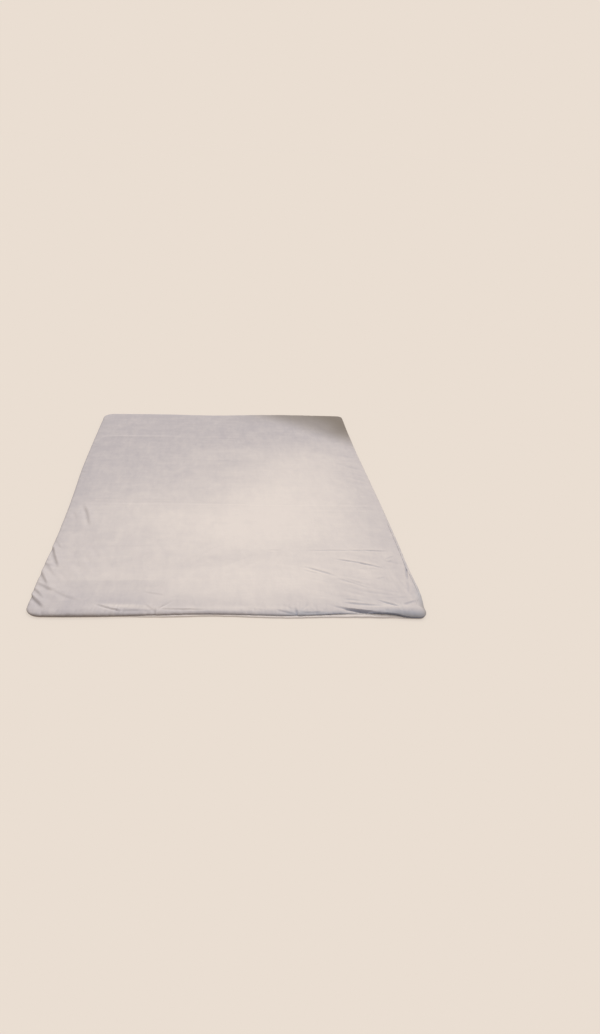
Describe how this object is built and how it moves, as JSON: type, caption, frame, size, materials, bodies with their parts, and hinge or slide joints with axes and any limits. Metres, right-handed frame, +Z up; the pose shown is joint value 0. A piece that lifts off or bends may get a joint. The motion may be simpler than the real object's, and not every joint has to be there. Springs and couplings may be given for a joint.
{
  "type": "grounding blanket",
  "caption": "Soft plush blanket laid flat, its filled face panel rolled down round the rim and gathered in creases, sewn to a thin back panel whose hem shows along one short edge.",
  "frame": {"origin": "on the surface it lies on, under the middle of the blanket's outline", "axes": "+Z up; +X along the short edges, to the right seen from the near short edge; +Y along the long edges, away from the near short edge, where the hem shows"},
  "size_m": [1.5208, 2.0306, 0.0287],
  "materials": {
    "face_plush": "short-pile plush, pale warm grey with a lilac cast, brushed in patches",
    "back_plush": "short-pile plush, pale cream grey, matt"
  },
  "bodies": {
    "root": {"face_panel": "face_plush", "back_panel": "back_plush"}
  },
  "joints": []
}
